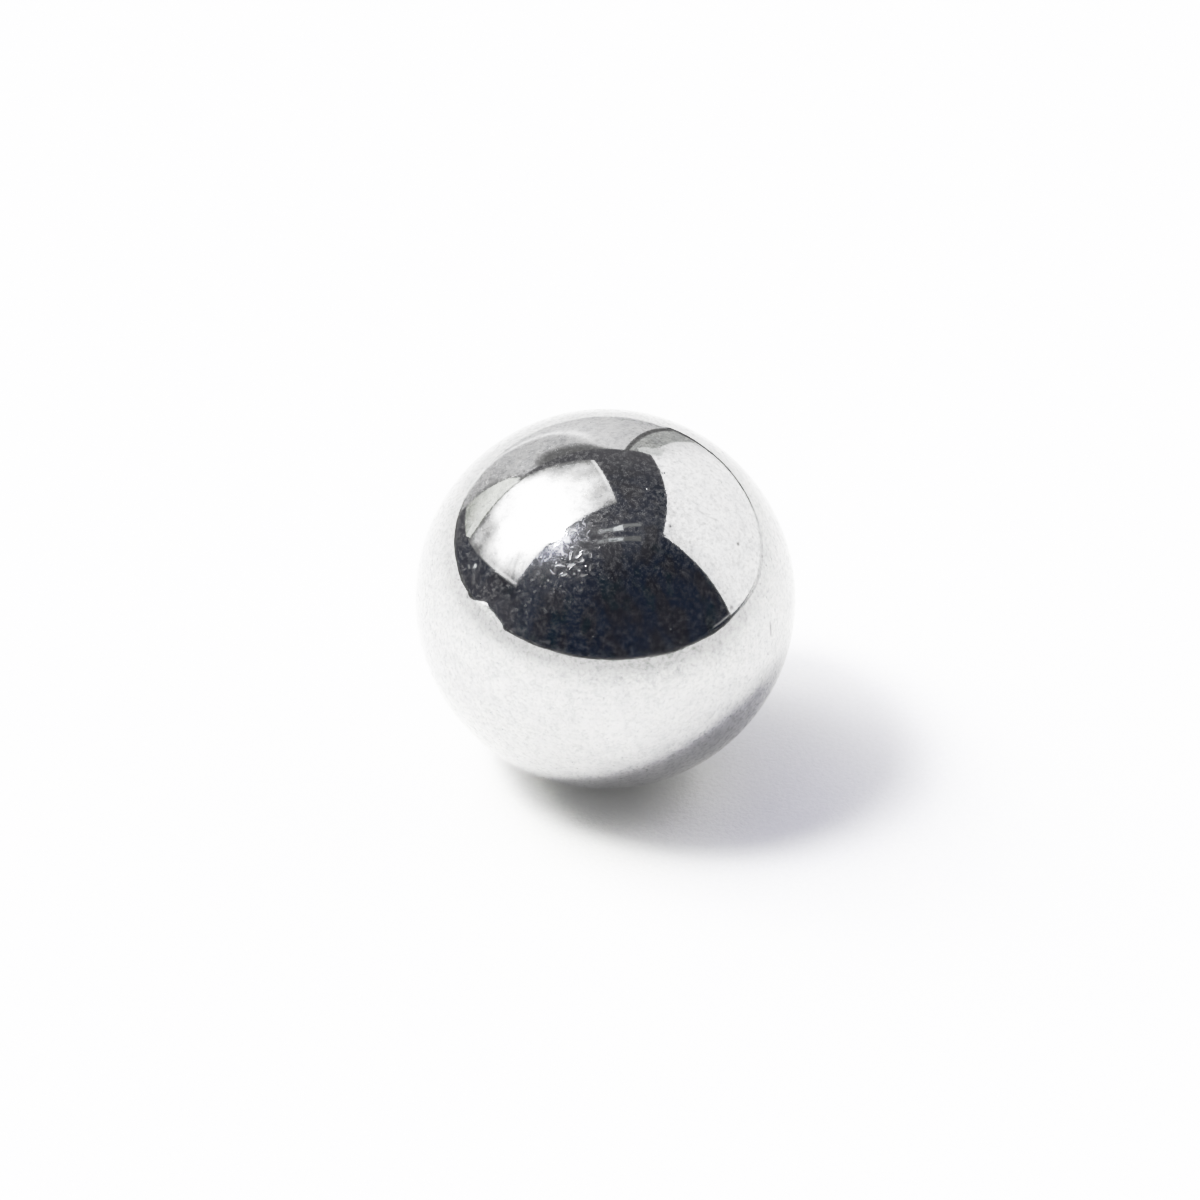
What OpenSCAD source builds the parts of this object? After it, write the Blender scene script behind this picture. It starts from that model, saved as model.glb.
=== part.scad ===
// Polished steel ball: one solid piece, formed from bar, ground and lapped.
// Millimetres, +Z up, origin at the centre of the ball.

/* [Ball] */
// Diameter of the ball
ball_d = 25.4; // [3:0.1:100]

/* [Hidden] */
$fn = 180;
polished_steel = [0.78, 0.79, 0.80];

// The whole object: a solid ball, with no bore, flat or seam.
module ball() {
    color(polished_steel)
        sphere(d = ball_d);
}

ball();
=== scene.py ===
import math

import bpy
import numpy as np
from mathutils import Matrix, Vector, noise


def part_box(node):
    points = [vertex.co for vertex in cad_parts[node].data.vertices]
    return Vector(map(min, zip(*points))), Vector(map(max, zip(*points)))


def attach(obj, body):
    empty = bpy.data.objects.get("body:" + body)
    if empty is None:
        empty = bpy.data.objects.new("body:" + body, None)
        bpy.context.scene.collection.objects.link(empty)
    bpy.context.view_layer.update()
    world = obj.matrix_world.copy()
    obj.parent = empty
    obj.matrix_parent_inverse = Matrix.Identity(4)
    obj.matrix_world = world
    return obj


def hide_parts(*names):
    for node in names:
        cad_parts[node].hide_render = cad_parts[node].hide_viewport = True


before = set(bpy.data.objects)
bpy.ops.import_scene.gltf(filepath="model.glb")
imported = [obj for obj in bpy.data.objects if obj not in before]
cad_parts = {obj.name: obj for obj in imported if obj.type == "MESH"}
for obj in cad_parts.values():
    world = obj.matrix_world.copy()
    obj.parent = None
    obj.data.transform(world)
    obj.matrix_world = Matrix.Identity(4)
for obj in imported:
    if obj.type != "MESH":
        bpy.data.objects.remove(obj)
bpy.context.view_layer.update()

# The steel ball, and the small studio it is looked at in. Metres, +Z up, origin at the ball's centre.

ball_low, ball_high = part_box("ball")
R = max((ball_high - ball_low)) / 2
CENTRE = (ball_low + ball_high) / 2
R_MM = R * 1000
FLOOR_Z = ball_low.z

scene = bpy.context.scene
scene.view_settings.view_transform = "Standard"
scene.view_settings.look = "None"

# Tone: straight in the darks, then a camera's rise and long soft shoulder, so that white comes in slowly
view = scene.view_settings
view.use_curve_mapping = True
tone = view.curve_mapping
tone.use_clip = True
tone.clip_max_x, tone.clip_max_y = 2.0, 2.0
tone.extend = "HORIZONTAL"
for single in tone.curves[:3]:  # red, green and blue pass through unchanged up to 2
    single.points[1].location = (2.0, 2.0)
knots = [(0, 0), (0.10, 0.10), (0.26, 0.26), (0.433, 0.56), (0.60, 0.72), (0.88, 0.88), (1.1, 0.955), (1.47, 0.995), (1.9, 1.0)]
curve = tone.curves[3]
curve.points[0].location = knots[0]
curve.points[1].location = knots[-1]
for knot in knots[1:-1]:
    curve.points.new(*knot)
for p in curve.points:
    p.handle_type = "AUTO_CLAMPED"
tone.update()


def heading(azimuth, elevation):
    """Unit vector: azimuth 0 is +Y and 90 is +X, elevation is above the horizon, in degrees."""
    a, e = math.radians(azimuth), math.radians(elevation)
    return Vector((math.sin(a) * math.cos(e), math.cos(a) * math.cos(e), math.sin(e)))


# ---------------------------------------------------------------- camera

ELEVATION, ROLL = 35.8, 3.1
DISTANCE = 40 * R
FOCAL_PX = 7609.0
OFFSET_PX = (5.3, 1.2)  # how far right of and above the middle of the frame the ball stands

back = heading(180, ELEVATION)
level_up = heading(0, 90 - ELEVATION)
c, s = math.cos(math.radians(ROLL)), math.sin(math.radians(ROLL))
right = Vector((1, 0, 0)) * c + level_up * s
up = Vector((-1, 0, 0)) * s + level_up * c
seat = CENTRE + back * DISTANCE
target = CENTRE - (right * OFFSET_PX[0] + up * OFFSET_PX[1]) * (DISTANCE / FOCAL_PX)
z = (seat - target).normalized()
x = (right - z * right.dot(z)).normalized()
y = z.cross(x)
cam_data = bpy.data.cameras.new("camera")
cam_data.sensor_width = 36
cam_data.lens = FOCAL_PX / 1200 * 36
cam_data.clip_start, cam_data.clip_end = 0.01, 100
camera = bpy.data.objects.new("camera", cam_data)
scene.collection.objects.link(camera)
camera.matrix_world = Matrix.Translation(seat) @ Matrix((x, y, z)).transposed().to_4x4()
scene.camera = camera

# ---------------------------------------------------------------- the ball's mesh

rng = np.random.default_rng(1905)


def unit(v):
    return v / np.linalg.norm(v, axis=-1, keepdims=True)


def place(az, el):
    return np.array(heading(az, el))


class Marks:
    """Dents and grooves on the unit sphere. Lengths are in millimetres, depths too."""

    def __init__(self):
        self.dents, self.grooves = [], []

    def dent(self, at, r, depth, lip=0.0, dirt=0.0):
        self.dents.append((unit(np.asarray(at, float)), r, depth, lip, dirt))

    def groove(self, at, way, half, width, depth, bend=0.0, dirt=0.0):
        at = unit(np.asarray(at, float))
        way = np.asarray(way, float)
        way = unit(way - at * (way @ at))
        self.grooves.append((at, way, half, width, depth, bend, dirt))

    def height(self, p):
        """Height in mm and dirt, 0 to 1, at each unit vector p."""
        h = np.zeros(len(p))
        dirt = np.zeros(len(p))
        for at, r, depth, lip, d in self.dents:
            reach = r * 1.8 if lip else r
            near = np.flatnonzero(p @ at > math.cos(min(reach / R_MM, 3)))
            if not len(near):
                continue
            q = np.linalg.norm(p[near] - at, axis=1) * R_MM / r
            h[near] -= depth * np.where(q < 1, (1 - q**2) ** 2, 0)
            if lip:
                h[near] += lip * np.where(q < 1.8, np.clip(1 - ((q - 1.15) / 0.65) ** 2, 0, 1) ** 2, 0)
            if d:
                dirt[near] = np.maximum(dirt[near], d * np.clip(1.25 - q * 1.1, 0, 1))
        for at, way, half, width, depth, bend, d in self.grooves:
            near = np.flatnonzero(p @ at > math.cos((half + width * 2) / R_MM))
            if not len(near):
                continue
            side = np.cross(at, way)
            along = (p[near] @ way) * R_MM
            across = (p[near] @ side) * R_MM - bend * along**2
            run = np.clip(1 - (along / half) ** 2, 0, 1)
            q = across / (width * (0.35 + 0.65 * run))
            h[near] -= depth * np.sqrt(run) * np.where(np.abs(q) < 1, (1 - q**2) ** 2, 0)
            if d:
                dirt[near] = np.maximum(dirt[near], d * (run > 0) * np.clip(1.2 - np.abs(q), 0, 1))
        return h, dirt

    def fineness(self, p, coarse):
        """Edge length wanted at each unit vector p, in mm."""
        want = np.full(len(p), coarse)
        for at, r, *_ in self.dents:
            near = np.flatnonzero(p @ at > math.cos((r * 1.3 + coarse * 2.1) / R_MM))
            far = np.linalg.norm(p[near] - at, axis=1) * R_MM
            want[near] = np.minimum(want[near], np.maximum(r / 2.8, (far - r * 1.3) * 0.6))
        for at, way, half, width, depth, bend, _ in self.grooves:
            near = np.flatnonzero(p @ at > math.cos((half + 1.5) / R_MM))
            if not len(near):
                continue
            along = (p[near] @ way) * R_MM
            across = np.abs((p[near] @ np.cross(at, way)) * R_MM - bend * along**2)
            far = np.hypot(across, np.clip(np.abs(along) - half, 0, None))
            want[near] = np.minimum(want[near], np.maximum(width / 1.6, (far - width * 1.3) * 0.6))
        return want


def away(at, az_el_2):
    """Tangent at one place toward another."""
    other = place(*az_el_2)
    return other - at * (other @ at)


marks = Marks()
# Pits and nicks on the side that shows
for az, el, r, depth, dirt in [
    (146.8, 55.5, 0.16, 0.004, 0.42), (140.7, 48.8, 0.13, 0.005, 0.42), (118.0, 40.7, 0.17, 0.012, 0.85), (133.6, 25.8, 0.22, 0.003, 0.32),
    (150.6, 18.4, 0.20, 0.003, 0.32), (141.0, 19.9, 0.16, 0.001, 0.18), (144.5, 19.6, 0.16, 0.001, 0.18),
    (123.4, 71.3, 0.09, 0.008, 0.4), (133.3, -10.8, 0.10, 0.010, 0.45),
]:
    marks.dent(place(az, el), r, depth, lip=0.001 if depth > 0.004 else 0.0, dirt=dirt)
at = place(118.0, 11.4)
marks.groove(at, away(at, (118.6, 5)), 0.55, 0.17, 0.020, bend=0.03, dirt=0.8)
for (a1, e1), (a2, e2), w, d in [((125.8, 56.3), (124.0, 53.3), 0.09, 0.004), ((124.0, 53.3), (119.2, 49.7), 0.09, 0.004)]:
    p1, p2 = place(a1, e1), place(a2, e2)
    marks.groove(p1 + p2, p2 - p1, np.linalg.norm(p2 - p1) * R_MM / 2, w, d, dirt=0.30)
for az, el, r, depth in [(148.4, 68.9, 0.15, 0.014), (162.8, 61.5, 0.11, 0.010), (159.1, 20.4, 0.12, 0.0025),
                          (173.3, 39.5, 0.10, 0.009), (173.9, 33.9, 0.10, 0.008), (155.7, 34.5, 0.09, 0.009), (153.5, 39.5, 0.09, 0.008), (-167.7, 27.1, 0.10, 0.009),
                          (-176.7, 24.1, 0.11, 0.010), (179.2, 43.0, 0.09, 0.009), (167.7, 28.3, 0.10, 0.009), (164.8, 29.0, 0.09, 0.008)]:
    marks.dent(place(az, el), r, depth, lip=0.001)
marks.dent(place(157.5, 25.2), 0.15, 0.014, dirt=0.5)
# The scuffed patch beside the highlight: its own bright nicks and dents, then shallow ones too faint to tell apart
patch = unit(np.array((-0.235, -0.579, 0.781)))  # on its upper edge
t1 = unit(np.array((0.239, 0.156, 0.196)))
t1 = unit(t1 - patch * (t1 @ patch))  # along that edge
t2 = np.array((-0.076, -0.784, 0.616))
t2 = t2 - patch * (t2 @ patch)
t2 = unit(t2 - t1 * (t2 @ t1))  # away from it, into the patch
for (az, el), toward, half, wide in [
    ((-167.1, 47.6), (-168.8, 49.0), 0.28, 0.12), ((-165.0, 44.4), (-167.4, 45.4), 0.30, 0.16), ((-160.5, 43.6), (-163.4, 43.9), 0.38, 0.14),
    ((-163.2, 41.1), (-165.2, 42.0), 0.24, 0.12), ((-158.2, 41.0), (-161.0, 39.8), 0.26, 0.12), ((-172.4, 48.3), (-172.2, 50.3), 0.20, 0.13),
    ((-163.6, 46.9), (-163.0, 48.7), 0.30, 0.12), ((-159.6, 47.5), (-161.3, 45.8), 0.28, 0.12),
    ((-170.6, 42.1), (-172.6, 42.6), 0.22, 0.12), ((-173.0, 44.4), (-172.6, 46.0), 0.18, 0.12),
    ((-170.6, 37.6), (-172.5, 38.6), 0.20, 0.10), ((-150.8, 37.2), (-152.6, 36.1), 0.22, 0.10),
]:
    p = place(az, el)
    out = (p @ t2) * R_MM
    marks.groove(p, place(*toward) - p, half, wide, wide * min(0.08, max(0.02, 0.026 * out)), bend=rng.uniform(-0.6, 0.6), dirt=min(1.0, 0.6 * out))
for az, el, r in [
    (-169.1, 46.5, 0.19), (-175.8, 48.3, 0.12), (-168.5, 43.4, 0.15), (-167.0, 42.0, 0.12), (-170.6, 39.9, 0.11),
    (-160.9, 35.5, 0.11), (-157.6, 38.4, 0.11), (-177.3, 43.0, 0.10), (177.8, 42.0, 0.10),
]:
    p = place(az, el)
    marks.dent(p, r, r * min(0.08, max(0.02, 0.030 * (p @ t2) * R_MM)), dirt=1.0)
for k in range(8):
    a, b = rng.normal(0, 1.3), abs(rng.normal(0.3, 1.2))
    p = unit(patch + (t1 * a + t2 * (b + 1.0)) / R_MM)
    g = rng.uniform(-0.7, 0.7)
    marks.groove(p, t1 * math.cos(g) + t2 * math.sin(g), rng.uniform(0.14, 0.24), 0.12, 0.12 * rng.uniform(0.02, 0.06), bend=rng.uniform(-0.8, 0.8))
# The rest of the ball, as lightly marked
camera_way = np.array(back)
left = 44
while left:
    p = unit(rng.normal(0, 1, 3))
    if p @ camera_way > 0.25:
        continue
    r = rng.uniform(0.08, 0.15)
    marks.dent(p, r, r * rng.uniform(0.05, 0.14), lip=0.001, dirt=rng.uniform(0.15, 0.6))
    left -= 1
left = 14
while left:
    p = unit(rng.normal(0, 1, 3))
    if p @ camera_way > 0.25:
        continue
    marks.groove(p, rng.normal(0, 1, 3), rng.uniform(0.3, 1.0), rng.uniform(0.06, 0.09), rng.uniform(0.002, 0.008), bend=rng.uniform(-0.1, 0.1), dirt=0.25)
    left -= 1

# A cube blown up to a sphere, each face an even grid in angle
N = 80
line = np.tan(np.linspace(-math.pi / 4, math.pi / 4, N + 1))
FACES = [
    ((1, 0, 0), (0, 1, 0), (0, 0, 1)), ((0, 1, 0), (-1, 0, 0), (0, 0, 1)), ((-1, 0, 0), (0, -1, 0), (0, 0, 1)),
    ((0, -1, 0), (1, 0, 0), (0, 0, 1)), ((0, 0, 1), (1, 0, 0), (0, 1, 0)), ((0, 0, -1), (1, 0, 0), (0, -1, 0)),
]
points, triangles, sheet = [], [], []
for k, (n, a, b) in enumerate(FACES):
    n, a, b = np.array(n, float), np.array(a, float), np.array(b, float)
    u, v = np.meshgrid(line, line)
    first = len(points) * (N + 1) ** 2
    points.append(unit((n + u[..., None] * a + v[..., None] * b).reshape(-1, 3)))
    i, j = np.meshgrid(np.arange(N), np.arange(N))
    q = (first + i + j * (N + 1)).ravel()
    quad = np.stack([q, q + 1, q + N + 2, q + N + 1], 1)
    odd = ((i + j) % 2).ravel().astype(bool)[:, None]
    one = np.where(odd, quad[:, [0, 1, 3]], quad[:, [0, 1, 2]])
    two = np.where(odd, quad[:, [1, 2, 3]], quad[:, [0, 2, 3]])
    triangles += [one, two]
    sheet += [np.full(len(one) * 2, k)]
P, T, S = np.concatenate(points), np.concatenate(triangles), np.concatenate(sheet)
_, first, same = np.unique(np.round(P, 7), axis=0, return_index=True, return_inverse=True)
P, T = P[first], same.ravel()[T]
turned = np.einsum("ij,ij->i", np.cross(P[T[:, 1]] - P[T[:, 0]], P[T[:, 2]] - P[T[:, 0]]), P[T[:, 0]]) < 0
T[turned] = T[turned][:, ::-1]


def refine(P, T, S, fineness, rounds=12):
    """Halves the longest edges until each triangle is as fine as fineness asks, with no loose corners."""
    for _ in range(rounds):
        ends = np.sort(np.stack([T[:, [0, 1]], T[:, [1, 2]], T[:, [2, 0]]], 1), axis=2)
        keys, edge = np.unique(ends.reshape(-1, 2), axis=0, return_inverse=True)
        edge = edge.reshape(-1, 3)
        size = np.linalg.norm(P[keys[:, 0]] - P[keys[:, 1]], axis=1)
        # the tiny term settles ties the same way from both sides
        longest = (size[edge] + edge * 1e-12).argmax(1)
        long_edge = edge[np.arange(len(T)), longest]
        middle = unit(P[T].mean(1))
        cut = np.zeros(len(keys), bool)
        cut[long_edge[size[long_edge] * R_MM > fineness(middle)]] = True
        if not cut.any():
            break
        while True:
            more = long_edge[cut[edge].any(1)]
            if cut[more].all():
                break
            cut[more] = True
        number = np.full(len(keys), -1)
        number[cut] = len(P) + np.arange(cut.sum())
        P = np.concatenate([P, unit(P[keys[cut, 0]] + P[keys[cut, 1]])])
        roll = (longest[:, None] + np.arange(3)) % 3
        T = np.take_along_axis(T, roll, 1)
        mid = number[np.take_along_axis(edge, roll, 1)]
        a, b, c2 = T.T
        m, mb, mc = mid.T  # on ab, bc and ca
        whole = m < 0
        out, tag = [T[whole]], [S[whole]]

        def add(pick, *corners):
            out.append(np.stack([k[pick] for k in corners], 1))
            tag.append(S[pick])

        add(~whole & (mc < 0), a, m, c2)
        add(~whole & (mc >= 0), a, m, mc)
        add(~whole & (mc >= 0), m, c2, mc)
        add(~whole & (mb < 0), m, b, c2)
        add(~whole & (mb >= 0), m, b, mb)
        add(~whole & (mb >= 0), m, mb, c2)
        T, S = np.concatenate(out), np.concatenate(tag)
    return P, T, S


COARSE = 0.36
P, T, S = refine(P, T, S, lambda p: marks.fineness(p, COARSE))
print("ball triangles", len(T))

height, dirt = marks.height(P)
# The exact normal of the marked surface, from the slope of its height
one = unit(np.cross(P, np.where(np.abs(P[:, 2:]) < 0.9, [[0, 0, 1.0]], [[1.0, 0, 0]])))
two = np.cross(P, one)
step = 0.004 / R_MM
slope = []
for way in (one, two):
    up_, _ = marks.height(unit(P + way * step))
    down_, _ = marks.height(unit(P - way * step))
    slope.append((up_ - down_) / (2 * step * R_MM))
normals = unit(P - one * slope[0][:, None] - two * slope[1][:, None])

co = P * ((R_MM + height) / 1000)[:, None] + np.array(CENTRE)
me = bpy.data.meshes.new("steel_ball")
me.vertices.add(len(co))
me.vertices.foreach_set("co", co.astype(np.float32).ravel())
me.loops.add(len(T) * 3)
me.loops.foreach_set("vertex_index", T.astype(np.int32).ravel())
me.polygons.add(len(T))
me.polygons.foreach_set("loop_start", np.arange(0, len(T) * 3, 3, dtype=np.int32))
me.polygons.foreach_set("loop_total", np.full(len(T), 3, dtype=np.int32))
me.update(calc_edges=True)
me.validate()
me.polygons.foreach_set("use_smooth", np.ones(len(T), bool))

# Each cube face has its own sixth of the map
uv = np.zeros((len(T), 3, 2))
for k, (n, a, b) in enumerate(FACES):
    pick = S == k
    p = P[T[pick]]
    depth = p @ np.array(n, float)
    u = np.arctan2(p @ np.array(a, float), depth) / (math.pi / 4)
    v = np.arctan2(p @ np.array(b, float), depth) / (math.pi / 4)
    uv[pick] = np.stack([(k % 3 + 0.5 + u * 0.49) / 3, (k // 3 + 0.5 + v * 0.49) / 2], -1)
layer = me.uv_layers.new(name="OFBake")
layer.uv.foreach_set("vector", uv.astype(np.float32).ravel())
me.normals_split_custom_set_from_vertices(normals.astype(np.float32).tolist())


def attribute(name, values):
    me.attributes.new(name, "FLOAT", "POINT").data.foreach_set("value", values.astype(np.float32))


attribute("dirt", dirt)
a_mm, b_mm = (P @ t1) * R_MM, (P @ t2) * R_MM
into = np.clip((b_mm + 0.30 + 0.28 * np.clip((-a_mm - 0.4) / 1.2, 0, 1)) / 0.35, 0, 1)
strong = 0.50 * np.exp(-(((a_mm + 0.5) / 1.7) ** 2)) * np.exp(-((np.maximum(b_mm, 0) / 0.85) ** 2))
weak = 0.40 * np.exp(-(((a_mm + 0.9) / 2.8) ** 2)) * np.exp(-((np.maximum(b_mm, 0) / 2.6) ** 2))
attribute("scuff", into * (strong + weak) * (P @ patch > 0))
reach = np.clip(1.6 * np.exp(-(((a_mm + 0.8) / 2.6) ** 2)) * np.exp(-((np.maximum(b_mm, 0) / 3.2) ** 2)), 0, 1) * (P @ patch > 0)
attribute("rub", np.clip((b_mm - 0.2) / 2.2, 0, 1) * reach)
attribute("dash", into * reach)
# Where it has kept its shine best
calm = np.zeros(len(P))
for az, el, wide in [(150, 31, 21), (168, 30, 16), (-50, -20, 24), (60, 35, 22)]:
    calm = np.maximum(calm, np.exp(-((np.degrees(np.arccos(np.clip(P @ place(az, el), -1, 1))) / wide) ** 4)))
attribute("calm", calm)
# Where it has rubbed most: a belt low on the front, and patches all round
wear = np.zeros(len(P))
for az, el, wide, tall in [(160, 13, 28, 6), (-168, 62, 22, 10), (150, 58, 16, 14), (30, -12, 30, 8), (-60, -30, 26, 9), (100, -40, 22, 10), (-20, 48, 24, 9)]:
    a, e = math.radians(az), math.radians(el)
    east = np.array((math.cos(a), -math.sin(a), 0.0))
    north = np.cross(place(az, el), -east)
    lon = np.degrees(np.arctan2(P @ east, P @ place(az, el)))
    lat = np.degrees(np.arcsin(np.clip(P @ north, -1, 1)))
    wear = np.maximum(wear, np.exp(-((lon / wide) ** 2) - (lat / tall) ** 2) * (P @ place(az, el) > 0))
attribute("wear", wear)

ball = bpy.data.objects.new("polished_ball", me)
scene.collection.objects.link(ball)
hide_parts("ball")
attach(ball, "root")


# ---------------------------------------------------------------- materials


class Nodes:
    """Short names for making a node tree."""

    def __init__(self, tree):
        self.tree = tree
        tree.nodes.clear()

    def put(self, value, socket):
        if isinstance(value, bpy.types.NodeSocket):
            self.tree.links.new(value, socket)
        elif value is not None:
            socket.default_value = value

    def node(self, kind, inputs=(), **props):
        n = self.tree.nodes.new(kind)
        for k, v in props.items():
            setattr(n, k, v)
        for k, v in dict(inputs).items():
            self.put(v, n.inputs[k])
        return n

    def math(self, op, a, b=None, c=None, clamp=False):
        n = self.node("ShaderNodeMath", operation=op, use_clamp=clamp)
        for i, v in enumerate((a, b, c)):
            self.put(v, n.inputs[i])
        return n.outputs[0]

    def vec(self, op, a, b=None, scale=None):
        n = self.node("ShaderNodeVectorMath", operation=op)
        self.put(a, n.inputs[0])
        if b is not None:
            self.put(b, n.inputs[1])
        if scale is not None:
            self.put(scale, n.inputs["Scale"])
        return n.outputs["Value" if op in ("DOT_PRODUCT", "LENGTH", "DISTANCE") else "Vector"]

    def ramp(self, value, lo, hi, out_lo=0.0, out_hi=1.0, smooth=True):
        n = self.node("ShaderNodeMapRange", interpolation_type="SMOOTHSTEP" if smooth else "LINEAR")
        for k, v in (("Value", value), ("From Min", lo), ("From Max", hi), ("To Min", out_lo), ("To Max", out_hi)):
            self.put(v, n.inputs[k])
        return n.outputs["Result"]

    def noise(self, vector, scale, detail=2.0, rough=0.5, w=None):
        n = self.node("ShaderNodeTexNoise", noise_dimensions="3D")
        self.put(vector, n.inputs["Vector"])
        self.put(scale, n.inputs["Scale"])
        self.put(detail, n.inputs["Detail"])
        self.put(rough, n.inputs["Roughness"])
        return n.outputs["Fac"]

    def voronoi(self, vector, scale):
        n = self.node("ShaderNodeTexVoronoi", voronoi_dimensions="3D", feature="F1")
        self.put(vector, n.inputs["Vector"])
        self.put(scale, n.inputs["Scale"])
        return n

    def mix(self, fac, a, b):
        n = self.node("ShaderNodeMix", data_type="RGBA")
        self.put(fac, n.inputs["Factor"])
        self.put(a, n.inputs[6])
        self.put(b, n.inputs[7])
        return n.outputs[2]

    def attr(self, name):
        return self.node("ShaderNodeAttribute", attribute_name=name, attribute_type="GEOMETRY").outputs["Fac"]


def new_material(name):
    m = bpy.data.materials.new(name)
    m.use_nodes = True
    return m, Nodes(m.node_tree)


def steel():
    """Polished steel. A thin share of the light is spread wide by fine wear, more where the wear is heavier."""
    m, g = new_material("polished_steel")
    place_m = g.node("ShaderNodeTexCoord").outputs["Object"]
    mm = g.vec("SCALE", place_m, scale=1000.0)
    scuffed, dirty, rubbed = g.attr("scuff"), g.attr("dirt"), g.attr("wear")

    def curls(shift, scale, sharp, keep, more):
        """Short curved marks: the level lines of one noise, kept where a second one is high."""
        at = g.vec("ADD", mm, shift)
        line = g.math("ABSOLUTE", g.math("MULTIPLY_ADD", g.noise(at, scale, 1.0, 0.5), sharp, -sharp / 2))
        line = g.ramp(line, 1.0, 0.1)
        low = g.math("MULTIPLY_ADD", more, -0.08, keep)
        kept = g.ramp(g.noise(g.vec("ADD", at, (17.0, 3.0, 5.0)), scale * 1.3, 1.0, 0.5), low, g.math("ADD", low, 0.09))
        return g.math("MULTIPLY", line, kept)

    heavier = g.math("ADD", rubbed, scuffed, clamp=True)
    small = curls((3.3, 1.7, 9.1), 3.1, 4.0, 0.56, heavier)
    large = curls((13.0, 7.4, 2.2), 1.9, 5.2, 0.59, heavier)
    scuffs = curls((2.0, 9.0, 4.0), 2.8, 5.0, 0.50, 0.0)
    # The patch's short dashes: stretched spots, bent and turned by a slow noise
    bend = g.vec("SCALE", g.vec("SUBTRACT", g.node("ShaderNodeTexNoise", {"Vector": mm, "Scale": 1.1, "Detail": 1.0}).outputs["Color"], (0.5, 0.5, 0.5)), scale=1.5)
    bent = g.vec("ADD", mm, bend)
    flat = g.node("ShaderNodeCombineXYZ", {0: g.vec("DOT_PRODUCT", bent, tuple(t1 / 0.44)), 1: g.vec("DOT_PRODUCT", bent, tuple(t2 / 0.21)), 2: g.vec("DOT_PRODUCT", bent, tuple(patch / 4.0))}).outputs[0]
    dash = g.voronoi(flat, 1.0)
    chance = g.math("FRACT", g.math("MULTIPLY", g.vec("DOT_PRODUCT", dash.outputs["Color"], (3.1, 5.7, 4.3)), 6.1))
    dashes = g.ramp(g.math("DIVIDE", dash.outputs["Distance"], g.ramp(chance, 0.25, 1.0, 0.05, 0.50, smooth=False)), 1.0, 0.35)
    dashes = g.math("MULTIPLY", dashes, g.attr("dash"))
    dots = g.ramp(g.noise(g.vec("ADD", mm, (1.0, 12.0, 6.0)), 3.3, 1.0, 0.5), g.math("MULTIPLY_ADD", heavier, -0.03, 0.53), g.math("MULTIPLY_ADD", heavier, -0.03, 0.68))

    # Stain and micro-pitting, from broad to fine
    broad = g.noise(mm, 0.22, 3.0, 0.6)
    cloud = g.noise(mm, 1.1, 3.0, 0.65)
    grain = g.noise(g.vec("ADD", mm, (5.0, 8.0, 2.0)), 3.2, 2.0, 0.6)
    haze = g.noise(g.vec("ADD", mm, (9.0, 2.0, 6.0)), 2.2, 2.0, 0.6)
    wobble = g.vec("ADD", mm, g.vec("SCALE", g.vec("SUBTRACT", g.node("ShaderNodeTexNoise", {"Vector": mm, "Scale": 4.0, "Detail": 1.0}).outputs["Color"], (0.5, 0.5, 0.5)), scale=0.45))
    fleck = g.voronoi(wobble, 1.25)
    pick = g.math("FRACT", g.math("MULTIPLY", g.vec("DOT_PRODUCT", fleck.outputs["Color"], (5.3, 3.9, 2.9)), 8.3))
    size = g.ramp(pick, 0.45, 1.0, 0.02, 0.17, smooth=False)
    fleck = g.ramp(g.math("DIVIDE", fleck.outputs["Distance"], size), 1.0, 0.35)

    height = g.math("MULTIPLY", small, -0.0002)
    height = g.math("MULTIPLY_ADD", large, -0.0003, height)
    height = g.math("MULTIPLY_ADD", g.math("MULTIPLY", dashes, g.attr("rub")), -0.0105, height)
    bump = g.node("ShaderNodeBump", {"Height": height, "Strength": 1.0, "Distance": 0.001})

    rough = g.ramp(broad, 0.35, 0.7, 0.045, 0.060)
    rough = g.math("MULTIPLY_ADD", scuffed, 0.07, rough)
    rough = g.math("MULTIPLY_ADD", dirty, g.math("MULTIPLY_ADD", g.attr("dash"), 0.12, 0.25), rough)
    rough = g.math("MULTIPLY_ADD", dashes, 0.20, rough)

    # The share of the light that is spread wide
    spread = g.ramp(haze, 0.44, 0.74, 0.006, 0.050)
    marked = g.math("MULTIPLY", small, 0.10)
    marked = g.math("MULTIPLY_ADD", large, 0.12, marked)
    marked = g.math("MULTIPLY_ADD", dots, 0.13, marked)
    spread = g.math("MULTIPLY_ADD", marked, g.math("MULTIPLY_ADD", g.attr("calm"), -0.45, 1.0), spread)
    spread = g.math("MULTIPLY_ADD", fleck, 0.05, spread)
    ground = g.math("MULTIPLY_ADD", scuffs, 0.16, 0.175)
    spread = g.math("MULTIPLY_ADD", scuffed, ground, spread)
    spread = g.math("MULTIPLY_ADD", dashes, 0.34, spread)
    spread = g.math("MULTIPLY_ADD", g.math("MULTIPLY", dirty, g.attr("dash")), 0.30, spread)

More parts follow.
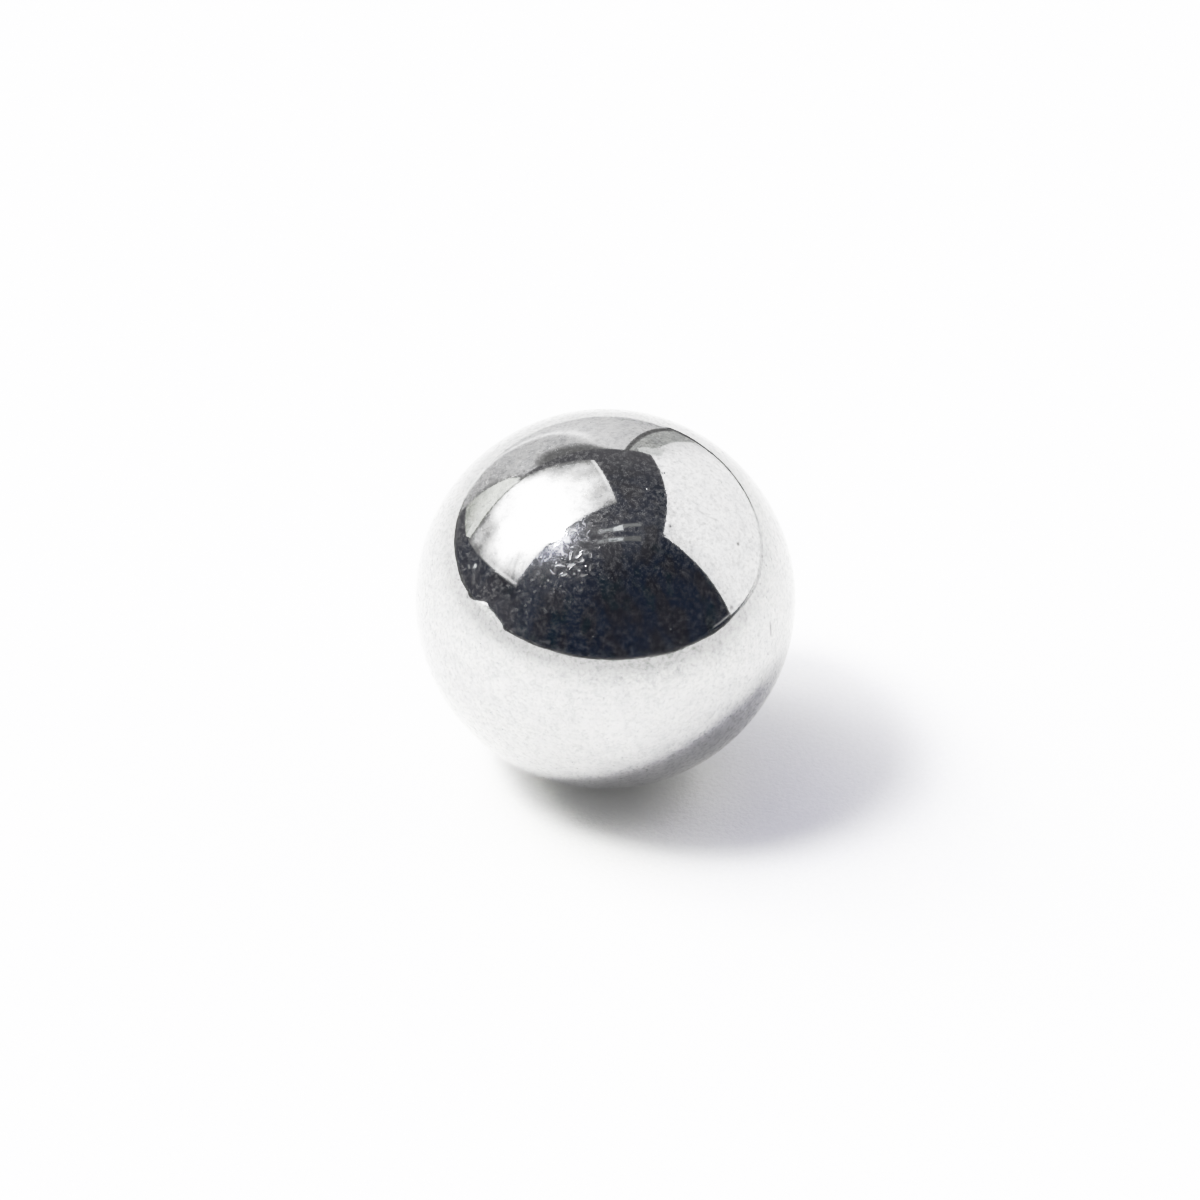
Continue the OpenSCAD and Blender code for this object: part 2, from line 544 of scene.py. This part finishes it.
    tone = g.ramp(grain, 0.42, 0.74, 1.0, g.math("MULTIPLY_ADD", rubbed, -0.06, 0.82))
    tone = g.math("MULTIPLY", tone, g.math("MULTIPLY_ADD", rubbed, -0.035, 1.0))
    tone = g.math("MULTIPLY", tone, g.ramp(cloud, 0.40, 0.70, 1.0, 0.90))
    tone = g.math("MULTIPLY", tone, g.math("MULTIPLY_ADD", small, -0.07, 1.0))
    tone = g.math("MULTIPLY", tone, g.math("MULTIPLY_ADD", large, -0.09, 1.0))
    tone = g.math("MULTIPLY", tone, g.math("MULTIPLY_ADD", fleck, -0.22, 1.0))
    tone = g.math("MULTIPLY", tone, g.ramp(broad, 0.3, 0.7, 1.0, 0.975))
    tone = g.math("MULTIPLY", tone, g.math("MULTIPLY_ADD", g.math("MULTIPLY", dashes, g.ramp(g.attr("rub"), 0.05, 0.5)), -0.66, 1.0))
    clean = g.mix(g.ramp(cloud, 0.3, 0.7), (0.640, 0.638, 0.634, 1), (0.634, 0.636, 0.638, 1))
    clean = g.mix(scuffed, clean, (0.615, 0.618, 0.672, 1))
    colour = g.vec("SCALE", clean, scale=tone)
    colour = g.mix(g.math("MULTIPLY", dirty, g.math("MULTIPLY_ADD", g.attr("dash"), -0.50, 0.85)), colour, (0.10, 0.098, 0.095, 1))
    mirror = g.node("ShaderNodeBsdfPrincipled", {"Base Color": colour, "Metallic": 1.0, "Roughness": rough, "Specular Tint": (0.91, 0.91, 0.915, 1), "Normal": bump.outputs["Normal"]})
    wide_rough = g.ramp(scuffed, 0.0, 0.6, 0.48, 0.38)
    wide = g.node("ShaderNodeBsdfPrincipled", {"Base Color": colour, "Metallic": 1.0, "Roughness": wide_rough, "Specular Tint": (0.91, 0.91, 0.915, 1), "Normal": bump.outputs["Normal"]})
    both = g.node("ShaderNodeMixShader", {0: spread, 1: mirror.outputs["BSDF"], 2: wide.outputs["BSDF"]})
    g.node("ShaderNodeOutputMaterial", {"Surface": both.outputs["Shader"]})
    return m


me.materials.append(steel())

# ---------------------------------------------------------------- studio


# Soft light from the rest of the room: (azimuth, elevation, half width, colour). It lights the floor; the ball shows a dark room.
FILL = [
    (-180, 12, 50, (0.185, 0.183, 0.188)), (-90, 12, 50, (0.917, 0.917, 0.930)), (-45, 12, 50, (0.675, 0.675, 0.675)), (135, 12, 50, (0.157, 0.157, 0.157)),
    (-135, 48, 50, (0.047, 0.050, 0.140)), (-45, 48, 50, (0.0, 0.0, 0.063)), (45, 48, 50, (0.0, 0.0, 0.062)), (135, 48, 50, (0.147, 0.140, 0.170)), (0, 90, 40, (0.436, 0.433, 0.520)),
]


def fill_level(p):
    """The room's light from heading p, the middle of its colour."""
    v = 0.0
    for az, el, half, colour in FILL:
        k = max(0.0, (p.dot(heading(az, el)) - math.cos(math.radians(half))) / (1 - math.cos(math.radians(half))))
        v += colour[1] * k * k * (3 - 2 * k)
    return v


def shown(g):
    """1 where the ball itself shows a thing, 0 where that thing lights the floor."""
    path = g.node("ShaderNodeLightPath").outputs
    return g.math("MULTIPLY", path["Is Glossy Ray"], g.math("LESS_THAN", path["Diffuse Depth"], 0.5))


def glow(name, build):
    """An emission material whose colour, level in the ball and level on the floor build(nodes) returns."""
    m, g = new_material(name)
    colour, level, light = build(g)
    k = shown(g)
    strength = g.math("ADD", g.math("MULTIPLY", k, level), g.math("MULTIPLY", g.math("SUBTRACT", 1.0, k), light))
    lit = g.node("ShaderNodeEmission", {"Color": colour, "Strength": strength})
    g.node("ShaderNodeOutputMaterial", {"Surface": lit.outputs["Emission"]})
    return m


def studio_piece(name, verts, faces, material, casts=True):
    mesh = bpy.data.meshes.new(name)
    mesh.from_pydata(verts, [], faces)
    mesh.materials.append(material)
    o = bpy.data.objects.new(name, mesh)
    scene.collection.objects.link(o)
    o.visible_camera = False
    o.visible_shadow = casts
    return o


def card(name, corners, distance, shade, centre=None):
    """A flat card a long way off that covers these headings as the ball sees them. shade is not used."""
    rays = [heading(*c) for c in corners]
    middle = Vector(centre) if centre else sum(rays, Vector()).normalized()
    outline = [r * (distance / r.dot(middle)) for r in rays]
    return outline, middle


def flat_card(name, corners, distance, colour, strength, light=0.0):
    outline, middle = card(name, corners, distance, None)
    m = glow(name, lambda g: (colour, strength, light + fill_level(middle)))
    return studio_piece(name, outline, [tuple(range(len(outline)))], m)


def shaded_card(name, corners, distance, colour, value, cells=24, light=None):
    """A four-cornered card whose brightness in the ball is value(heading, u, v) at each corner of a fine grid, and on the floor light(heading)."""
    (a, b, c3, d), _ = card(name, corners, distance, None)
    verts, faces, level, cast = [], [], [], []
    for j in range(cells + 1):
        for i in range(cells + 1):
            u, v = i / cells, j / cells
            p = (a * (1 - u) + b * u) * (1 - v) + (d * (1 - u) + c3 * u) * v
            verts.append(p)
            level.append(value(p.normalized(), u, v))
            cast.append((light(p.normalized()) if light else level[-1]) + fill_level(p.normalized()))
    for j in range(cells):
        for i in range(cells):
            k = i + j * (cells + 1)
            faces.append((k, k + 1, k + cells + 2, k + cells + 1))
    m = glow(name, lambda g: (colour, g.attr("level"), g.attr("cast")))
    o = studio_piece(name, verts, faces, m)
    o.data.attributes.new("level", "FLOAT", "POINT").data.foreach_set("value", level)
    o.data.attributes.new("cast", "FLOAT", "POINT").data.foreach_set("value", cast)
    return o


# The softbox: its lamp stands behind the left side and the light falls off to the corners. Spots of 6.5 degrees, (azimuth, elevation, level), as the ball shows it
SHOWN = [
    (-115, 34, 0.7), (-110, 31, 0.98), (-98, 27, 1.6), (-90, 31, 1.8), (-85, 22, 1.1), (-72, 16, 0.78), (-108, 43, 2.1), (-94, 39, 4.0), (-80, 34, 3.0), (-66, 29, 1.95), (-54, 33, 2.1), (-109, 54, 1.9),
    (-96, 51, 6), (-81, 47, 6), (-67, 42, 3.2), (-53, 44, 3.6), (-40, 44, 0.52), (-31, 49, 0.20), (-104, 64, 2.8), (-88, 60, 6), (-70, 56, 7), (-53, 56, 2.4), (-36, 55, 0.68),
    (-20, 55, 0.69), (-95, 74, 1.25), (-68, 69, 1.8), (-42, 67, 1.8), (-18, 66, 0.91), (-60, 80, 1.02), (0, 78, 0.92),
]
CAST = [
    (-110, 31, 0.80), (-98, 27, 1.35), (-85, 22, 0.97), (-72, 16, 0.75), (-108, 43, 2.19), (-94, 39, 1.94), (-80, 34, 3.42), (-66, 29, 2.06), (-54, 33, 2.97),
    (-96, 51, 17.97), (-67, 42, 11.63), (-53, 44, 3.60), (-104, 64, 6.73), (-88, 60, 7.47), (-70, 56, 5.73), (-53, 56, 1.87), (-36, 55, 0.63),
    (-95, 74, 1.01), (-68, 69, 3.19), (-42, 67, 1.72), (-18, 66, 0.71), (-60, 80, 0.87), (0, 78, 0.56),
]
# Creases in its cloth: from, to, half width in degrees, depth
CREASES = [((-110.8, 25.4), (-100.6, 37.8), 0.9, 0.36), ((-116.0, 27.3), (-109.8, 36.0), 0.8, 0.30), ((-104.0, 27.0), (-101.6, 32.3), 0.7, 0.30), ((-70.5, 76.0), (5.8, 82.9), 0.9, 0.18), ((-51.1, 76.4), (-7.9, 79.4), 0.9, 0.14)]


def spots(table, p):
    return sum(level * math.exp(-((math.degrees(math.acos(max(-1, min(1, p.dot(heading(az, el)))))) / 6.5) ** 2)) for az, el, level in table)


def softbox_level(p, u, v):
    level = spots(SHOWN, p)
    for a, b, wide, deep in CREASES:
        a, b = heading(*a), heading(*b)
        run = (b - a).length
        way = (b - a) / run
        along_ = (p - a).dot(way) / run
        across = math.degrees(((p - a) - way * (p - a).dot(way)).length)
        level *= 1 - deep * math.exp(-((across / wide) ** 2)) * max(0, min(1, min(along_ + 0.1, 1.1 - along_) * 4))
    level *= 1 + 0.16 * noise.noise(p * 13) * max(0, min(1, 2.2 - level))
    # the bright binding along its lower edge
    level += 0.75 * math.exp(-(((v - 0.022) / 0.016) ** 2)) * max(0, min(1, (0.75 - u) * 2.5))
    # and along its far end
    level += 0.9 * math.exp(-(((v - 0.985) / 0.011) ** 2)) * max(0, min(1, (u - 0.15) * 3))
    return max(0.25, level)


shaded_card("softbox", [(-116.5, 22.5), (-68.0, 8.5), (-12.0, 50.5), (30, 83)], 10, (1, 1, 1, 1), softbox_level, 90, light=lambda p: spots(CAST, p))
lamp_way = heading(-102.9, 57.8)
lamp = bpy.data.lights.new("softbox_lamp", "AREA")
lamp.shape = "DISK"
lamp.size = 2 * 9.8 * math.tan(math.radians(6.9))
lamp.energy = 27.8 * math.pi * math.pi * (lamp.size / 2) ** 2
lamp_object = bpy.data.objects.new("softbox_lamp", lamp)
lamp_object.location = CENTRE + lamp_way * 9.8
lamp_object.rotation_euler = lamp_way.to_track_quat("Z", "Y").to_euler()
lamp_object.visible_camera = False
scene.collection.objects.link(lamp_object)


# The white board at the right, its shaded end and the thin shadow along its foot
def board_level(p, u, v):
    az = math.degrees(math.atan2(p.x, p.y))
    el = math.degrees(math.asin(p.z))
    # Painted light and shade: a little brighter towards its top, a painted shaded band at azimuth 16 by its shaded end,
    # and its far end past azimuth 94 in painted shade
    v = 1.27 + 0.10 * (1 / (1 + math.exp(-(el - 30) / 5)))
    v -= 0.30 * math.exp(-(((az - 16) / 6) ** 2))
    return v - 0.20 / (1 + math.exp(-(az - 94) / 2.5))


shaded_card("white_board_near", [(17.0, -0.3), (63.0, -0.3), (63.0, 57.6), (17.5, 38.0)], 12, (1, 0.998, 1.0, 1), board_level, light=lambda p: 1.33)
shaded_card("white_board_far", [(63.0, -0.3), (99.0, 0.9), (100.5, 59.2), (63.0, 57.6)], 12, (1, 0.998, 1.0, 1), board_level, light=lambda p: 1.33)
flat_card("white_board_corner", [(98.9, 0.9), (101.5, 20.0), (103.5, 40), (104.2, 55.5), (103.6, 58.4), (100.4, 59.3)], 12.05, (1, 0.998, 1.0, 1), 1.14, 1.33)
flat_card("white_board_crown", [(40.2, 50.7), (62.9, 57.4), (26, 43.5)], 12.05, (1, 0.998, 1.0, 1), 1.36, 1.33)
flat_card("white_board_top", [(63.1, 57.4), (100.4, 59.0), (85, 59.9)], 12.05, (1, 0.998, 1.0, 1), 1.36, 1.33)
flat_card("white_board_end", [(11.6, -0.5), (17.0, -0.3), (17.5, 38.0), (7.6, 40.4)], 12.2, (0.99, 1, 0.985, 1), 0.56)
flat_card("white_board_end_low", [(10.8, 36.3), (13.1, 33.5), (15.9, 31.6), (17.8, 29.0), (18.5, 25.2), (21.8, 34.8), (17.8, 38.9), (12.3, 39.3)], 12.15, (0.99, 1, 0.99, 1), 0.82)
# The board's edge, seen side-on, painted dark as it stands in shade
flat_card("board_edge", [(10.2, -1.2), (11.6, -0.5), (7.6, 40.4), (5.4, 41.7)], 12.3, (1, 1, 1, 1), 0.16)


def floor_strip(name, ends):
    """A strip lying on the floor that the ball shows between these headings: each azimuth with its lower and upper elevation and its brightness."""
    verts, level = [], []
    for az, low, high, bright in ends:
        for el in (low, high):
            d = heading(az, el)
            p = (d + back).normalized() * R
            t = (p.z + R - 0.0004) / -d.z
            verts.append(CENTRE + p + d * t)
            level.append(bright)
    faces = [(2 * k, 2 * k + 2, 2 * k + 3, 2 * k + 1) for k in range(len(ends) - 1)]
    o = studio_piece(name, verts, faces, glow(name, lambda g: ((1, 1, 1, 1), g.attr("level"), g.attr("level"))), casts=False)
    o.data.attributes.new("level", "FLOAT", "POINT").data.foreach_set("value", level)
    o.visible_diffuse = False


floor_strip("board_foot", [
    (9.5, -3.6, -0.3, 0.16), (13.0, -3.8, -0.3, 0.12), (17.0, -3.0, -0.8, 0.12), (20.0, -2.9, -0.8, 0.20), (23.0, -2.8, -0.9, 0.26), (28.0, -2.3, -0.6, 0.26), (34.0, -1.8, -0.3, 0.36),
    (40.0, -2.1, -0.2, 0.70), (45.0, -2.3, -0.15, 0.90), (55.0, -2.4, -0.15, 0.92), (65.0, -2.6, -0.3, 0.88), (75.0, -2.3, -0.9, 0.76), (85.0, -1.5, -0.5, 0.64), (92.0, -0.9, -0.1, 0.46),
    (96.0, -0.6, -0.1, 0.12), (100.0, -0.5, -0.1, 0.07), (106.0, -0.3, -0.1, 0.06), (112.0, -0.2, -0.1, 0.05),
])
floor_strip("wall_foot", [
    (-96.0, -0.4, -0.1, 0.05), (-94.0, -1.2, -0.1, 0.05), (-91.5, -2.0, -0.1, 0.05), (-88.0, -1.3, -0.1, 0.05), (-80.0, -1.6, -0.1, 0.06), (-72.0, -1.0, -0.1, 0.06), (-60.0, -1.5, -0.1, 0.08), (-52.0, -1.7, -0.1, 0.14), (-48.0, -1.9, -0.1, 0.36), (-45.0, -2.0, -0.1, 0.50), (-41.0, -1.8, -0.1, 0.62), (-37.5, -1.6, -0.1, 0.95),
    (-35.0, -1.6, -0.1, 1.25), (-30.0, -1.4, -0.1, 1.30), (-26.5, -1.3, -0.1, 0.88), (-20.0, -1.4, -0.1, 0.86), (-10.0, -1.3, -0.1, 0.86), (0.0, -1.2, -0.1, 0.82), (8.0, -1.2, -0.1, 0.78),
])
floor_strip("room_foot", [
    (-118.8, -0.3, -0.1, 0.03), (-120.0, -1.4, -0.1, 0.03), (-126.0, -1.2, -0.1, 0.03), (-134.0, -0.95, -0.1, 0.03), (-142.0, -1.35, -0.1, 0.03), (-150.0, -0.85, -0.1, 0.03), (-160.0, -1.2, -0.1, 0.03),
    (-170.0, -1.25, -0.1, 0.03), (-180.0, -0.95, -0.1, 0.03), (-190.0, -1.05, -0.1, 0.03), (-200.0, -0.85, -0.1, 0.03), (-210.0, -0.95, -0.1, 0.03), (-220.0, -1.5, -0.1, 0.03), (-230.0, -0.85, -0.1, 0.03),
    (-240.0, -0.8, -0.1, 0.03), (-248.0, -1.3, -0.1, 0.03), (-254.0, -1.2, -0.1, 0.03), (-260.0, -0.9, -0.1, 0.03),
])
# The near left corner of the floor, which stands up a little and catches the light at its tip
flat_card("floor_corner", [(-91.0, -3.2), (-95.1, -0.9), (-102.0, 2.0), (-106.5, 3.0), (-110.8, 2.9), (-114.5, 1.8), (-119.0, 0.5), (-119.0, -1.2), (-104.0, -1.6)], 12.1, (0.985, 1, 0.98, 1), 1.12)
flat_card("floor_corner_tip", [(-95.1, -0.9), (-98.7, 1.2), (-102.0, 3.3), (-104.6, 4.0), (-106.3, 3.2), (-102.3, 2.0)], 12.0, (1, 1, 1, 1), 1.9)
flat_card("board_skirt", [(98.0, 1.2), (104.0, 1.6), (111.5, 1.7), (112.0, 2.1), (104.0, 2.3), (98.5, 2.0)], 12.1, (1, 0.998, 1.0, 1), 0.66)


# The pale wall behind: painted lighter to the right of a fold that runs up it, with a painted highlight along the fold,
# painted shade beside the flap, a little darker at its lower left, and the softbox's shadow at its top
FOLD = [(-1, -31), (0, -29), (3, -24.5), (6, -20.8), (9, -18), (12, -15.8), (15, -14), (18, -12.8), (24, -11), (30, -9.6), (42, -8)]
SHADOW_FOOT = [(-60, 60), (-42, 42), (-38, 33.0), (-33.0, 27.5), (-28.0, 26.0), (-24, 26.6), (-19, 29.0), (-14, 31.0), (-9, 34.3), (-4, 37.8), (2, 41), (20, 60)]


FLAP_SIDE = [(3, -47.6), (24, -44.2), (31, -44.6)]


def along(table, x):
    return float(np.interp(x, [a for a, _ in table], [b for _, b in table]))


def wall_level(p, u, v):
    az = math.degrees(math.atan2(p.x, p.y))
    el = math.degrees(math.asin(p.z))
    fold = along(FOLD, el)
    side = 1 / (1 + math.exp(-(az - fold) / 1.2))
    # Painted light: brighter right of the fold, with a painted highlight along it; painted shade beside the flap
    v = 0.65 - 0.08 * max(0, min(1, (-az - 30) / 12)) * max(0, min(1, (22 - el) / 8)) + side * (0.25 - 0.008 * max(0, az - fold))
    v += 0.46 * math.exp(-(((az - fold) / 2.2) ** 2)) * max(0, min(1, (33 - el) / 9))
    v -= 0.24 * math.exp(-(((az - along(FLAP_SIDE, el)) / 2.2) ** 2)) * max(0, min(1, (el - 3) / 7))
    s = max(0, min(1, (el + 1.0 - along(SHADOW_FOOT, az)) / 8))
    s = s * s * (3 - 2 * s)
    return v * (1 - s) + 0.21 * s


shaded_card("wall", [(-47.7, -0.5), (11, -0.5), (6.7, 41.2), (-44.9, 32.0)], 16, (0.998, 0.996, 1.0, 1), wall_level, 60, light=lambda p: 0.88)


def flap_level(p, u, v):
    el = math.degrees(math.asin(p.z))
    # Painted shade: darker towards its foot, brighter towards its top
    return max(0.56, min(1.05, 0.335 + 0.038 * el))


shaded_card("wall_flap", [(-65.8, 7.4), (-47.6, 3.0), (-44.2, 24.0), (-45.0, 31.4)], 14, (0.985, 1.0, 0.955, 1), flap_level, 16, light=lambda p: 0.0)
# A dark line along the flap's edge: a painted shadow between the flap and the softbox
flat_card("flap_edge", [(-66.5, 8.0), (-60.0, 8.0), (-44.0, 28.0), (-44.4, 34.5)], 14.1, (0.99, 0.99, 1, 1), 0.38)
# The flap reaches over the softbox's far edge, with a thin shadow between the two
for name, corners, near, level in [
    ("wall_flap_near", [(-59.0, 15.6), (-57.0, 17.4), (-54.9, 20.0), (-53.1, 23.1), (-49.8, 25.9), (-46.0, 28.7), (-47.5, 31.9), (-52.0, 28.7), (-55.5, 25.9), (-58.4, 23.2), (-60.8, 20.8), (-62.7, 18.6)], 9.5, 1.05),
    ("wall_flap_low", [(-65.0, 7.6), (-62.6, 9.6), (-61.0, 12.2), (-58.6, 15.3), (-62.7, 18.6), (-65.5, 15.7), (-67.0, 12.6), (-68.3, 9.9)], 9.5, 0.90),
    ("flap_shadow", [(-69.3, 10.5), (-68.0, 13.3), (-66.5, 16.4), (-63.6, 19.4), (-61.7, 21.6), (-59.3, 24.1), (-56.4, 26.8), (-52.8, 29.7), (-48.2, 32.8), (-42.9, 35.1),
                     (-42.3, 34.1), (-47.5, 31.9), (-52.0, 28.7), (-55.5, 25.9), (-58.4, 23.2), (-60.8, 20.8), (-62.7, 18.6), (-65.5, 15.7), (-67.0, 12.6), (-68.3, 9.9)], 9.55, 0.36),
]:
    piece = flat_card(name, corners, near, (0.985, 1.0, 0.96, 1), level)
    piece.visible_shadow = piece.visible_diffuse = False
flat_card("small_lamp", [(-83.7, 10.8), (-85.4, 10.7), (-86.0, 9.8), (-83.9, 7.9), (-83.3, 9.0)], 9.4, (0.97, 1, 1, 1), 0.9)
flat_card("small_lamp_low", [(-79.5, 5.8), (-80.6, 6.9), (-82.6, 6.3), (-81.3, 5.1)], 9.4, (0.97, 1, 1, 1), 0.42)
for k, (corners, strength) in enumerate([
    ([(-157.7, 73.9), (-154.1, 75.9), (166.7, 79.3), (169.0, 77.0)], 0.50), ([(169.0, 76.6), (166.7, 79.4), (136.0, 79.1), (145.2, 76.2)], 0.95),
    ([(141.6, 77.2), (134.0, 79.0), (104.2, 71.9), (109.5, 70.8)], 0.36), ([(-163.3, 67.6), (-161.1, 69.6), (-178.9, 72.5), (-179.4, 70.1)], 0.42),
    ([(-179.4, 70.1), (-178.9, 72.5), (151.4, 72.2), (154.6, 70.0)], 0.68), ([(154.6, 69.8), (151.4, 72.3), (124.4, 67.6), (130.4, 65.2)], 0.22),
]):
    flat_card("far_strip_%d" % k, corners, 9 + k * 0.01, (0.97, 1, 1, 1), strength)

# Plain pale floor: smooth card. In the ball it carries painted light: less bright far off, as the lamp's reach ends,
# brighter close by on the lamp's side, and less dim far off behind the ball than on the camera's side
m, g = new_material("floor")
place_m = g.node("ShaderNodeTexCoord").outputs["Object"]
mm = g.vec("SCALE", place_m, scale=1000.0)
far = g.vec("LENGTH", mm)
grain = g.noise(mm, 3.2, 3.0, 0.65)
front = g.ramp(g.math("DIVIDE", g.node("ShaderNodeSeparateXYZ", {0: mm}).outputs["Y"], g.math("MAXIMUM", far, 1.0)), -0.6, 0.7)
toward_lamp = g.ramp(g.math("DIVIDE", g.node("ShaderNodeSeparateXYZ", {0: mm}).outputs["X"], g.math("MAXIMUM", far, 1.0)), -0.2, -0.9)
# Painted light as the ball sees the floor: falling off with distance, brighter by the ball on the lamp's side
albedo_with_painted_light = g.ramp(far, 20, 160, g.math("MULTIPLY_ADD", toward_lamp, 0.09, 0.88), g.math("MULTIPLY_ADD", front, 0.18, 0.56))
seen = g.node("ShaderNodeLightPath").outputs["Is Camera Ray"]
albedo_with_painted_light = g.math("ADD", g.math("MULTIPLY", albedo_with_painted_light, g.math("SUBTRACT", 1.0, seen)), g.math("MULTIPLY", seen, 0.86))
albedo_with_painted_light = g.math("MULTIPLY", albedo_with_painted_light, g.ramp(grain, 0.3, 0.7, 0.975, 1.02, smooth=False))


def near_foot(x, y, wide):
    """1 at one place on the floor, in radii of the ball, falling off within wide."""
    return g.ramp(g.vec("LENGTH", g.vec("SUBTRACT", mm, (x * R_MM, y * R_MM, 0))), wide * R_MM, 0.0)


# Painted shade and light around the ball's foot: darker just in front of it, deepening its contact shadow, and lighter
# to its front right as painted light; the blue is a little lower in the ball everywhere, and lower again near the foot
# where the camera sees the shadow
albedo_with_painted_light = g.math("MULTIPLY", albedo_with_painted_light, g.math("MULTIPLY_ADD", near_foot(0.10, -0.46, 0.38), -0.10, 1.0))
albedo_with_painted_light = g.math("MULTIPLY", albedo_with_painted_light, g.math("MULTIPLY_ADD", near_foot(0.55, -0.25, 0.45), 0.07, 1.0))
less = g.math("MULTIPLY", albedo_with_painted_light, g.math("MULTIPLY_ADD", seen, 0.03, 0.97))
less = g.math("MULTIPLY", less, g.math("MULTIPLY_ADD", g.math("MULTIPLY", near_foot(0.06, -0.56, 1.1), seen), -0.045, 1.0))
colour = g.node("ShaderNodeCombineColor", {0: albedo_with_painted_light, 1: albedo_with_painted_light, 2: less})
bump = g.node("ShaderNodeBump", {"Height": grain, "Strength": 1.0, "Distance": 0.00003})
shader = g.node("ShaderNodeBsdfDiffuse", {"Color": colour.outputs[0], "Normal": bump.outputs["Normal"]})
g.node("ShaderNodeOutputMaterial", {"Surface": shader.outputs["BSDF"]})
floor_mesh = bpy.data.meshes.new("floor")
W = 30
floor_mesh.from_pydata([(-W, -W, 0), (W, -W, 0), (W, W, 0), (-W, W, 0)], [], [(0, 1, 2, 3)])
floor_mesh.materials.append(m)
floor = bpy.data.objects.new("floor", floor_mesh)
floor.location = (CENTRE.x, CENTRE.y, FLOOR_Z)
scene.collection.objects.link(floor)

# The room: dark all round, as the ball sees it, a little fill on the floor, and a plain pale backdrop where the camera looks past the floor
world = bpy.data.worlds.new("room")
scene.world = world
world.use_nodes = True
g = Nodes(world.node_tree)
way = g.node("ShaderNodeTexCoord").outputs["Generated"]
split = g.node("ShaderNodeSeparateXYZ", {0: way})
high = g.ramp(split.outputs["Z"], 0.78, 0.98)
ahead = g.ramp(split.outputs["Y"], 0.25, 0.75)
low_left = g.math("MULTIPLY", g.ramp(split.outputs["X"], -0.55, -0.95), g.ramp(split.outputs["Z"], 0.40, 0.15))
tall = g.vec("MULTIPLY", way, (1.0, 1.0, 0.4))
blotch, other = g.noise(tall, 4.5, 2.0, 0.5), g.noise(g.vec("ADD", tall, (3.0, 5.0, 1.0)), 6.0, 2.0, 0.5)
dark = g.mix(g.ramp(blotch, 0.42, 0.58), (0.013, 0.021, 0.042, 1), (0.021, 0.022, 0.031, 1))
dark = g.mix(g.ramp(other, 0.55, 0.65, 0.0, 0.5), dark, (0.008, 0.025, 0.033, 1))
high_colour = g.mix(g.ramp(blotch, 0.40, 0.60), (0.060, 0.066, 0.088, 1), (0.072, 0.071, 0.080, 1))
dark = g.mix(high, dark, high_colour)
dark = g.mix(low_left, dark, g.mix(g.ramp(blotch, 0.40, 0.60), (0.050, 0.056, 0.078, 1), (0.068, 0.068, 0.083, 1)))
dark = g.mix(ahead, dark, (0.130, 0.128, 0.140, 1))
soft = (0.0, 0.0, 0.0)
for az, el, half, colour in FILL:
    near = g.ramp(g.vec("DOT_PRODUCT", way, tuple(heading(az, el))), math.cos(math.radians(half)), 1.0)
    soft = g.vec("ADD", soft, g.vec("SCALE", colour, scale=near))
# Each kind of ray needs only its own branch
on_floor = g.node("ShaderNodeBackground", {"Color": soft, "Strength": 1.0}).outputs[0]
in_ball = g.node("ShaderNodeBackground", {"Color": dark, "Strength": 1.0}).outputs[0]
backdrop = g.node("ShaderNodeBackground", {"Color": (2.2, 2.2, 2.2, 1), "Strength": 1.0}).outputs[0]
sky = g.node("ShaderNodeMixShader", {0: shown(g), 1: on_floor, 2: in_ball}).outputs[0]
seen = g.node("ShaderNodeLightPath").outputs["Is Camera Ray"]
sky = g.node("ShaderNodeMixShader", {0: seen, 1: sky, 2: backdrop}).outputs[0]
g.node("ShaderNodeOutputWorld", {"Surface": sky})
